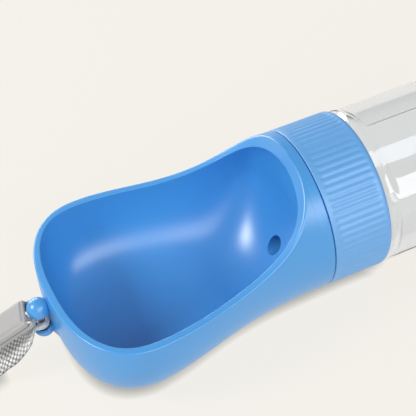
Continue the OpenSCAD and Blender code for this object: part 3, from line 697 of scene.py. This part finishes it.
def ballAndNeck():
    # a ball that runs into a neck, which flares softly where it meets the bowl
    g = lug
    end = math.asin(g["neckRadius"] / g["ballRadius"])
    turn = np.linspace(0, math.pi - end, 40)[1:]
    x = g["pinX"] - g["ballRadius"] * np.cos(turn)
    r = g["ballRadius"] * np.sin(turn)
    xNeck = np.linspace(x[-1], g["wallX"], 9)[1:]
    rNeck = g["neckRadius"] + g["neckFlare"] * ease((xNeck - x[-1]) / 2)
    x, r = np.concatenate([x, xNeck])[:, None], np.concatenate([r, rNeck])[:, None]
    a = ringAngles(72)[None, :]
    points = xyz(x, r * np.sin(a), g["ballHeight"] - r * np.cos(a))
    return solid("ball", [(points, True, (g["pinX"] - g["ballRadius"], 0, g["ballHeight"]),
                           (g["wallX"], 0, g["ballHeight"]))])


def halfBall():
    # the lower ear: half a ball with a small round along its rim, which rises towards the bowl
    g = lug
    e = g["earEdge"]
    low = np.linspace(-math.pi / 2, -0.06, 24)[1:]
    t = np.linspace(0, math.pi / 2, 5)
    r = np.concatenate([g["earRadius"] * np.cos(low), g["earRadius"] - e + e * np.cos(t)])[:, None]
    z = np.concatenate([g["earRadius"] * np.sin(low), -e + e * np.sin(t)])[:, None]
    a = ringAngles(72)[None, :]
    x = r * np.cos(a)
    rise = g["earRise"] * ease((x + g["earRadius"]) / (2 * g["earRadius"])) * ease(1 + z / 2.5)
    points = xyz(g["earX"] + x, r * np.sin(a), g["earTop"] + z + rise)
    middle = g["earTop"] + g["earRise"] / 2
    return solid("ear", [(points, True, (g["earX"], 0, g["earTop"] - g["earRadius"]),
                          (g["earX"], 0, middle))])


def earWeb():
    # joins the ear to the bowl, wider and deeper towards the wall
    g = lug
    x = np.linspace(g["webStart"], g["wallX"], 16)[:, None]
    run = x - g["webStart"]
    flare = g["webFlare"] * ease((run - g["webFlareFrom"]) / g["webFlareEase"]) ** 1.5
    half, deep = g["webWidth"] / 2 + flare, g["webDepth"] + 0.8 * flare
    a = ringAngles(48)[None, :]
    c, s = np.cos(a), np.sin(a)
    y = half * np.sign(c) * np.abs(c) ** g["webRound"]
    rise = (g["webTop"] - g["earTop"]) * ease(run / g["webRise"])
    z = g["earTop"] + rise + np.where(s > 0, -(deep + rise) * np.abs(s) ** g["webRound"],
                                      -0.5 * flare * s)
    points = xyz(x, y, z)
    return solid("web", [(points, True, points[0].mean(0), points[-1].mean(0))])


# the seat of the valve behind the bowl
seat = {
    "overlap": 1.6, "spigotLength": 8.0, "chamber": 26.2, "spigot": 28.6, "chamfer": 0.3,
    "bossLength": 4.4, "boss": 4.5, "screwHole": 1.5, "screwDepth": 6.0,
    "sealGroove": (1.84, 3.76, 2.85), "ringGroove": (4.7, 6.0, 27.6),
    "stop": (1.6, 30.4, 32.06), "stopAngle": 12,
    "outletDrop": 17.23, "outlet": 3.9, "outletReach": 30.0,
    "sealSeat": 4.75, "sealDepth": 6.2, "sealFlange": 8.8,
    "pocket": (4.6, 15.0, 24.6), "pocketFrom": -56, "pocketSpan": 112,
}


def groove(place, outer, steps):
    # a ring that cuts a groove; its place is the start, the end and the radius left under it
    x0, x1, r = place
    return turnedSolid("cut", [(x0, r), (x0, outer), (x1, outer), (x1, r)], steps)


def makeTrough():
    g, v = lug, seat
    k, back = v["chamfer"], -v["overlap"]
    spigot = turnedSolid("spigot", [
        (back, v["chamber"]), (back, v["spigot"]), (v["spigotLength"] - k, v["spigot"]),
        (v["spigotLength"], v["spigot"] - k), (v["spigotLength"], v["chamber"] + k),
        (v["spigotLength"] - k, v["chamber"])], steps=144)
    boss = rodSolid("boss", back, v["bossLength"], v["boss"])
    stop = sectorSolid("stop", back, *v["stop"], 180 - v["stopAngle"] / 2, v["stopAngle"])
    trough = shaped(makeBowl(), [ballAndNeck(), halfBall(), earWeb(), spigot, boss, stop], "UNION")

    down = -v["outletDrop"]
    deep, inner, outer = v["pocket"]
    pocket = sectorSolid("cut", -deep, 1, inner, outer, v["pocketFrom"], v["pocketSpan"], 48)
    shaped(pocket, [rodSolid("cut", -deep - 1, 2, v["sealFlange"], z=down)], "DIFFERENCE")
    sealGroove = groove(v["sealGroove"], v["boss"] + 1, 96)
    ringGroove = groove(v["ringGroove"], v["spigot"] + 1, 144)
    cup = ballSolid("cut", (g["earX"], 0, g["earTop"] + g["cupRise"]), g["cupRadius"])
    pinHole = postSolid("cut", g["pinX"], 0, g["earTop"] - g["earRadius"] - 1,
                        g["ballHeight"] + 0.4, g["pinHole"])
    outlet = rodSolid("cut", -v["outletReach"], 1, v["outlet"], z=down)
    sealSeat = rodSolid("cut", -v["sealDepth"], 1.2, v["sealSeat"], z=down)
    screwHole = rodSolid("cut", v["bossLength"] - v["screwDepth"], v["bossLength"] + 1, v["screwHole"])
    return shaped(trough, [pocket, sealGroove, ringGroove, cup, pinHole, outlet, sealSeat, screwHole],
                  "DIFFERENCE", crease=42)


bowlTrough = makeTrough()
bowlTrough.name = "bowlTrough"
print("bowl made:", len(bowlTrough.data.polygons), "faces")


# the collar

collarForm = {
    "start": 0.4, "end": 27.0, "radius": 35.0, "bore": 32.2, "hole": 28.81, "flangeEnd": 4.0,
    "seamEdge": 0.4, "endRound": (2.0, 1.5),
    "ribs": 72, "ribDepth": 0.34, "ribStart": 2.4, "ribEnd": 24.9, "ribEase": 1.5,
    "ribRound": 1.3, "stepsPerRib": 10,
    "stopTrack": (1.8, 30.26), "trackFrom": 113.4, "trackSpan": 73.2,
    "keys": 6, "keyway": (8.35, 10.45, 33.25), "keyAngle": 8.4,
}


def makeCollar():
    c = collarForm
    e = c["seamEdge"]
    long, deep = c["endRound"]
    t = np.linspace(0, math.pi / 2, 9)
    small = np.linspace(0, math.pi / 2, 5)
    body = np.linspace(c["start"] + e + 0.6, c["end"] - long - 0.4, 34)
    x = np.concatenate([[c["start"]], c["start"] + e - e * np.cos(small), body,
                        c["end"] - long + long * np.sin(t), [c["end"], c["end"] - 0.4],
                        [c["flangeEnd"]] * 2])
    r = np.concatenate([[c["hole"]], c["radius"] - e + e * np.sin(small),
                        np.full(len(body), c["radius"]), c["radius"] - deep + deep * np.cos(t),
                        [c["bore"] + 0.5, c["bore"], c["bore"], c["hole"]]])
    fade = ease((x - c["ribStart"]) / c["ribEase"]) * ease((c["ribEnd"] - x) / c["ribEase"])
    fade = np.where(r > c["radius"] - 0.01, fade, 0)
    x, r, fade = (np.append(v, v[0])[:, None] for v in (x, r, fade))
    a = ringAngles(c["ribs"] * c["stepsPerRib"])[None, :]
    dip = (0.5 + 0.5 * np.cos(c["ribs"] * a)) ** c["ribRound"]
    sleeve = solid("collarSleeve", [(aroundAxis(x, r - c["ribDepth"] * fade * dip, a), True)])
    xEnd, rIn = c["stopTrack"]
    track = sectorSolid("cut", c["start"] - 1, xEnd, rIn, c["bore"], c["trackFrom"],
                        c["trackSpan"], 48)
    x0, x1, rOut = c["keyway"]
    ways = [sectorSolid("cut", x0, x1, c["bore"] - 1, rOut, 360 / c["keys"] * i - c["keyAngle"] / 2,
                        c["keyAngle"]) for i in range(c["keys"])]
    return shaped(sleeve, [track] + ways, "DIFFERENCE", crease=35)


collarSleeve = makeCollar()
print("collar made:", len(collarSleeve.data.polygons), "faces")


# the bottle

bottleForm = {
    "mouth": 12.1, "neck": 26.0, "base": 139.0, "baseRise": 4.0, "wall": 1.6,
    "corner": 34.6, "panelMiddle": 32.5, "cornerSoft": 0.35, "cornerSlope": 0.21,
    "panelFrom": 29.4, "panelTo": 127.4, "panelEase": 4.6, "turn": 3.5,
    "sides": 6, "stepsPerSide": 44, "cornerSpread": 0.09,
    "threadStart": 15.4, "threadPitch": 4.0, "threadTurns": 1.75,
    "threadRoot": (25.6, 1.7), "threadCrest": (27.3, 1.0),   # radius and width
}


def bottleProfile(inset):
    # the outline of the outside, or of the inside when inset is the wall, from mouth to base
    b, i = bottleForm, inset
    neck, x = b["neck"], b["base"]
    points = [(b["mouth"] + (0.3 if i == 0 else 0), neck - i),
              (22.6 + 0.4 * i, neck - i), (23.4 + 0.5 * i, neck + 0.6 - i),
              (24.3 + 0.7 * i, neck + 2.9 - i), (25.4 + 0.7 * i, 30.2 - i), (26.6 + 0.6 * i, 32.2 - i),
              (28.2 + 0.4 * i, 33.5 - i), (30.2, 34.2 - i), (32.4, b["corner"] - i),
              (34, b["corner"] - i), (60, b["corner"] - i), (100, b["corner"] - i),
              (128.6, b["corner"] - i), (129.6, 34.7 - i), (130.4, 35 - i), (135.4, 35 - i),
              (137.2 - 0.2 * i, 34.6 - i), (138.4 - 0.4 * i, 33.6 - i), (x - i, 32 - i),
              (x - i, 29.5 - i), (x - i, 27 - 0.4 * i), (x - 0.6 - i, 24.5), (x - 2.6 - i, 21),
              (x - 3.6 - i, 14), (x - b["baseRise"] - i, 4)]
    return softCorners(points, 3)


def panelDip(angles):
    # how far a panel lies inside the corners' circle: a wide arc through two corners, made
    # round at the corner itself
    b = bottleForm
    step = 2 * math.pi / b["sides"]
    turn = step / 2 - np.abs((angles + step / 2) % step - step / 2)   # from the panel's middle
    cornerX = b["corner"] * math.cos(step / 2)
    middle = b["panelMiddle"]
    centre = (middle ** 2 - b["corner"] ** 2) / (2 * (middle - cornerX))
    arc = middle - centre
    r = centre * np.cos(turn) + np.sqrt(arc ** 2 - (centre * np.sin(turn)) ** 2)
    toCorner = (step / 2 - turn) * b["corner"]
    soft = b["cornerSoft"]
    return b["corner"] - r + b["cornerSlope"] * soft * np.exp(-toCorner / soft)


def helixSolid(name, x0, turns, steps=72):
    # a ridge with sloping sides along a helix about the bottle's axis, its ends run out
    b = bottleForm
    n = int(steps * turns)
    i = np.arange(n + 1)[:, None]
    a = 2 * math.pi * i / steps
    grow = np.clip(np.minimum(i, n - i) / 9, 0.1, 1)
    (rootR, rootW), (crestR, crestW) = b["threadRoot"], b["threadCrest"]
    crest = rootR + (crestR - rootR) * grow
    r = np.concatenate([rootR + 0 * crest, crest, crest, rootR + 0 * crest], 1)
    x = x0 + b["threadPitch"] * i / steps + np.array([[-rootW, -crestW, crestW, rootW]]) / 2
    points = aroundAxis(x, r, a)
    return solid(name, [(points, True, points[0].mean(0), points[-1].mean(0))])


def makeBottle():
    b = bottleForm
    fine = np.linspace(0, 1, b["stepsPerSide"] + 1)[:-1]
    fine = fine - b["cornerSpread"] * np.sin(2 * math.pi * fine)   # closer steps at the corners
    a = ((np.arange(b["sides"])[:, None] + fine[None, :]) * 2 * math.pi / b["sides"]).ravel()[None, :]
    turned = a + math.radians(b["turn"])
    outline = np.concatenate([bottleProfile(0)[::-1], bottleProfile(b["wall"])])
    x, r = outline[:, :1], outline[:, 1:]
    panel = ease((x - b["panelFrom"]) / b["panelEase"]) * ease((b["panelTo"] - x) / b["panelEase"])
    points = aroundAxis(x, r - panel * panelDip(a), turned)
    end = b["base"] - b["baseRise"]
    shell = solid("bottleShell", [(points, True, (end, 0, 0), (end - b["wall"], 0, 0))], crease=30)
    thread = helixSolid("thread", b["threadStart"], b["threadTurns"])
    return shaped(shell, [thread], "UNION", crease=30)


bottleShell = makeBottle()
print("bottle made:", len(bottleShell.data.polygons), "faces")


# materials

def link(tree, kind, inputs=None, **settings):
    # adds a node: each input is another node's socket, or a plain value
    node = tree.nodes.new(kind)
    for key, value in settings.items():
        setattr(node, key, value)
    for key, value in (inputs or {}).items():
        if isinstance(value, bpy.types.NodeSocket):
            tree.links.new(value, node.inputs[key])
        else:
            node.inputs[key].default_value = value
    return node


def combine(tree, operation, a, b, kind="ShaderNodeMath"):
    return link(tree, kind, {0: a, 1: b}, operation=operation).outputs[0]


def noise(tree, place, scale, detail, **more):
    inputs = {"Vector": place, "Scale": scale, "Detail": detail, **more}
    return link(tree, "ShaderNodeTexNoise", inputs).outputs["Fac"]


def bumpNormal(tree, height, strength, distance):
    inputs = {"Height": height, "Strength": strength, "Distance": distance}
    return link(tree, "ShaderNodeBump", inputs).outputs["Normal"]


def newGroup(name, inputs):
    # an effect that puts out a tone and a normal
    tree = bpy.data.node_groups.new(name, "ShaderNodeTree")
    for label, value in inputs:
        socket = tree.interface.new_socket(label, in_out="INPUT", socket_type="NodeSocketFloat")
        socket.default_value = value
    for label, kind in (("Tone", "NodeSocketFloat"), ("Normal", "NodeSocketVector")):
        tree.interface.new_socket(label, in_out="OUTPUT", socket_type=kind)
    return tree, tree.nodes.new("NodeGroupInput"), tree.nodes.new("NodeGroupOutput")


def makeMouldGrain():
    # the skin of a moulded piece: a slow drift of tone and a very fine pitted bump
    tree, enter, leave = newGroup("mouldGrain", [("Grain", 2500.0), ("Depth", 0.2)])
    spot = link(tree, "ShaderNodeTexCoord").outputs["Object"]
    pits = noise(tree, spot, enter.outputs["Grain"], 2.0)
    wave = combine(tree, "MULTIPLY", noise(tree, spot, 60.0, 1.0), 4.0)
    height = combine(tree, "ADD", wave, pits)
    tree.links.new(noise(tree, spot, 35.0, 3.0), leave.inputs["Tone"])
    tree.links.new(bumpNormal(tree, height, enter.outputs["Depth"], 0.00003), leave.inputs["Normal"])
    return tree


def makeTurnMarks():
    # rings left by a lathe about the bottle's axis, or by drawing along a pin
    tree, enter, leave = newGroup("turnMarks", [("Pitch", 9000.0)])
    spot = link(tree, "ShaderNodeTexCoord").outputs["Object"]
    stretch = combine(tree, "MULTIPLY", spot, (1.0, 0.04, 0.04), "ShaderNodeVectorMath")
    lines = noise(tree, stretch, enter.outputs["Pitch"], 2.0)
    tree.links.new(lines, leave.inputs["Tone"])
    tree.links.new(bumpNormal(tree, lines, 0.25, 0.00002), leave.inputs["Normal"])
    return tree


mouldGrain, turnMarks = makeMouldGrain(), makeTurnMarks()


def coatBase(name):
    coat = bpy.data.materials.new(name)
    coat.use_nodes = True
    return coat, coat.node_tree, coat.node_tree.nodes["Principled BSDF"]


def finishedCoat(name, low, high, group, amounts, skinValues):
    # a colour that drifts from low to high, with the group's surface
    coat, tree, skin = coatBase(name)
    finish = link(tree, "ShaderNodeGroup", amounts, node_tree=group).outputs
    mix = link(tree, "ShaderNodeMix", {"Factor": finish["Tone"]}, data_type="RGBA")
    mix.inputs["A"].default_value = linear(*low)
    mix.inputs["B"].default_value = linear(*high)
    tree.links.new(mix.outputs["Result"], skin.inputs["Base Color"])
    tree.links.new(finish["Normal"], skin.inputs["Normal"])
    for socket, value in skinValues.items():
        skin.inputs[socket].default_value = value
    return coat


def mouldedCoat(name, low, high, roughness, depth=0.2, specular=0.5, soft=0.0):
    return finishedCoat(name, low, high, mouldGrain, {"Depth": depth}, {
        "Roughness": roughness, "Specular IOR Level": specular,
        "Subsurface Weight": soft, "Subsurface Scale": 0.002})


def clearCoat():
    return finishedCoat("clearCopolyester", (242, 245, 249), (247, 249, 252), mouldGrain,
                        {"Grain": 400.0, "Depth": 0.15},
                        {"Roughness": 0.03, "IOR": 1.5, "Transmission Weight": 1.0})


def steelCoat():
    return finishedCoat("turnedSteel", (176, 178, 181), (206, 208, 210), turnMarks, {},
                        {"Metallic": 1.0, "Roughness": 0.28})


def webbingCoat():
    # grey, white and dark yarns: a tone for each thread, times a painted shade that darkens the gaps
    # between threads and the strip's edges
    coat, tree, skin = coatBase("wovenWebbing")
    marks = link(tree, "ShaderNodeUVMap", uv_map="weave").outputs[0]
    paintedShade = link(tree, "ShaderNodeAttribute", attribute_name="thread").outputs["Color"]
    height = link(tree, "ShaderNodeSeparateColor", {"Color": paintedShade}).outputs["Red"]
    pitch = webbing["threadPitch"] * 0.001
    vectors = "ShaderNodeVectorMath"
    yarns = combine(tree, "MULTIPLY", marks, (0.9 / pitch, 1 / pitch, 1.0), vectors)
    speck = noise(tree, yarns, 1.3, 4.0, Roughness=0.7)
    fibres = noise(tree, combine(tree, "MULTIPLY", marks, (3000.0, 14000.0, 1.0), vectors), 1.0, 2.0)
    ramp = link(tree, "ShaderNodeValToRGB", {"Fac": speck})
    stops = ramp.color_ramp.elements
    for stop, place, shade in zip(stops, (0.32, 0.58), ((96, 96, 98), (252, 252, 251))):
        stop.position = place
        stop.color = linear(*shade)
    for place, shade in ((0.4, 176), (0.47, 236)):
        stops.new(place).color = linear(shade, shade, shade)
    # painted shade: the colour dims from the threads' crowns into the gaps between them
    deep = link(tree, "ShaderNodeMapRange", {"Value": height, "From Min": 0.1, "From Max": 0.75,
                                             "To Min": 0.1, "To Max": 1.0})
    thin = link(tree, "ShaderNodeMapRange", {"Value": fibres, "To Min": 0.8, "To Max": 1.15})
    shade = combine(tree, "MULTIPLY", deep.outputs[0], thin.outputs[0])
    colour = link(tree, vectors, {0: ramp.outputs["Color"], "Scale": shade}, operation="SCALE")
    tree.links.new(colour.outputs[0], skin.inputs["Base Color"])
    tree.links.new(bumpNormal(tree, fibres, 0.5, 0.00008), skin.inputs["Normal"])
    skin.inputs["Roughness"].default_value = 0.72
    skin.inputs["Sheen Weight"].default_value = 0.25
    skin.inputs["Sheen Roughness"].default_value = 0.4
    return coat


coats = {
    "bowl_blue": mouldedCoat("bowlBlue", (66, 150, 217), (70, 153, 221), 0.33, specular=0.9),
    "collar_blue": mouldedCoat("collarBlue", (94, 162, 222), (100, 166, 226), 0.45, specular=1.0),
    "clear_bottle": clearCoat(),
    "insert_plastic": mouldedCoat("insertWhite", (226, 230, 232), (234, 237, 238), 0.35, soft=0.2),
    "disc_plastic": mouldedCoat("discWhite", (232, 232, 230), (240, 240, 238), 0.4),
    "glide_nylon": mouldedCoat("glideNylon", (226, 221, 205), (234, 230, 216), 0.45),
    "outlet_rubber": mouldedCoat("outletRubber", (150, 146, 142), (162, 158, 153), 0.6, depth=0.5),
    "oring_rubber": mouldedCoat("sealRubber", (44, 44, 46), (56, 56, 58), 0.55, depth=0.5),
    "gasket_rubber": mouldedCoat("gasketSilicone", (214, 218, 222), (224, 228, 231), 0.5, soft=0.3),
    "steel": steelCoat(),
    "webbing": webbingCoat(),
    "clip_plastic": mouldedCoat("clipGrey", (168, 167, 167), (176, 175, 175), 0.4, depth=0.4),
}


def dress(piece, slot, body, *nodes):
    # gives a new piece its material, its body and the nodes that it stands for
    piece.data.materials.clear()
    piece.data.materials.append(coats[slot])
    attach(piece, body)
    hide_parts(*nodes)


dress(webbingStrip, "webbing", "strap", "strap_webbing")
dress(clipTop, "clip_plastic", "strap", "clip_top")
dress(clipBottom, "clip_plastic", "strap", "clip_bottom")
dress(bowlTrough, "bowl_blue", "bowl", "trough")
dress(collarSleeve, "collar_blue", "collar", "collar")
dress(bottleShell, "clear_bottle", "bottle", "bottle")

# the solids that keep their shape get their materials
nodeCoats = {
    "lug_pin": "steel", "outlet_seal": "outlet_rubber", "retaining_ring": "steel",
    "glide_washer": "glide_nylon", "pivot_oring": "oring_rubber", "pivot_washer": "steel",
    "pivot_spring": "steel", "pivot_screw": "steel", "valve_disc": "disc_plastic",
    "insert_oring": "oring_rubber", "threaded_insert": "insert_plastic",
    "bottle_gasket": "gasket_rubber", "clip_clamp": "steel", "clip_pins": "steel",
}
for node, slot in nodeCoats.items():
    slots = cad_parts[node].material_slots
    for k in range(len(slots)):
        slots[k].material = coats[slot]
print("materials made")


# floor and light

studio = {
    "floorColour": (244, 241, 234),
    "floorGlow": 0.7,           # the share of the floor's colour that it gives off to light the object
    "floorSeen": 0.92,          # the same share as it is seen, also in gloss and through the bottle
    "floorCatch": 0.08,         # the share that it takes from the lamps
    "shadeReach": 0.0065,       # metres from the object over which the painted contact shadow reaches
    "shadeDepth": 0.02,         # what is left of the floor's light where the object closes it in
    "floorHalf": 4.0,           # metres from its middle to its edge
    "worldStrength": 0.34,
    "middle": (-40, 0, -5),     # what the lamps point at, in millimetres from the seam
    "lamps": [
        # name, direction from the object, distance, size and power
        ("frontBox", (0.17, -0.79, 0.54), 1.1, (1.05, 0.45), 6.2),
        ("lowBox", (-0.05, -0.95, 0.25), 1.2, (0.8, 0.3), 1.7),
        ("leftBox", (-0.80, 0.08, 0.60), 1.1, (0.3, 0.3), 6.7),
        ("backBox", (-0.15, 0.95, 0.22), 1.3, (1.0, 0.45), 11.0),
    ],
}


def floorCoat():
    # paper that glows with its own light, which also lights the object, and has a painted contact
    # shadow close to the object, from its openness
    coat, tree, skin = coatBase("floorPaper")
    pale = np.array(linear(*studio["floorColour"]))
    skin.inputs["Base Color"].default_value = (*(pale[:3] * studio["floorCatch"]).tolist(), 1)
    skin.inputs["Roughness"].default_value = 0.9
    skin.inputs["Specular IOR Level"].default_value = 0.0
    rays = link(tree, "ShaderNodeLightPath").outputs
    seen = combine(tree, "MAXIMUM", rays["Is Camera Ray"], rays["Is Glossy Ray"])
    seen = combine(tree, "MAXIMUM", seen, rays["Is Transmission Ray"])
    glow = link(tree, "ShaderNodeMapRange", {"Value": seen, "To Min": studio["floorGlow"],
                                             "To Max": studio["floorSeen"]})
    # painted contact shadow: the glow that the camera sees dims where the object closes the floor in
    near = link(tree, "ShaderNodeAmbientOcclusion", {"Distance": studio["shadeReach"]}, samples=16)
    shade = link(tree, "ShaderNodeMapRange", {"Value": near.outputs["AO"],
                                              "To Min": studio["shadeDepth"]})
    shade = link(tree, "ShaderNodeMix", {"Factor": rays["Is Camera Ray"], "A": 1.0,
                                         "B": shade.outputs[0]})
    strength = combine(tree, "MULTIPLY", glow.outputs[0], shade.outputs[0])
    skin.inputs["Emission Color"].default_value = pale.tolist()
    tree.links.new(strength, skin.inputs["Emission Strength"])
    return coat


def makeStudio():
    scene = bpy.context.scene
    scene.view_settings.view_transform = "Standard"
    world = bpy.data.worlds.new("studioWorld")
    scene.world = world
    world.use_nodes = True
    back = world.node_tree.nodes["Background"]
    back.inputs["Color"].default_value = (1.0, 1.0, 1.0, 1)
    back.inputs["Strength"].default_value = studio["worldStrength"]
    target = Vector(toPart(studio["middle"]).tolist())
    for name, direction, distance, size, power in studio["lamps"]:
        lamp = bpy.data.lights.new(name, "AREA")
        lamp.shape = "RECTANGLE"
        lamp.size, lamp.size_y = size
        lamp.energy = power
        holder = addObject(name, lamp)
        away = Vector(direction).normalized()
        holder.location = target + away * distance
        holder.rotation_euler = away.to_track_quat("Z", "Y").to_euler()
    mesh = bpy.data.meshes.new("floor")
    h = studio["floorHalf"]
    mesh.from_pydata([(-h, -h, 0), (h, -h, 0), (h, h, 0), (-h, h, 0)], [], [(0, 1, 2, 3)])
    mesh.materials.append(floorCoat())
    addObject("floor", mesh)


makeStudio()
print("studio made")
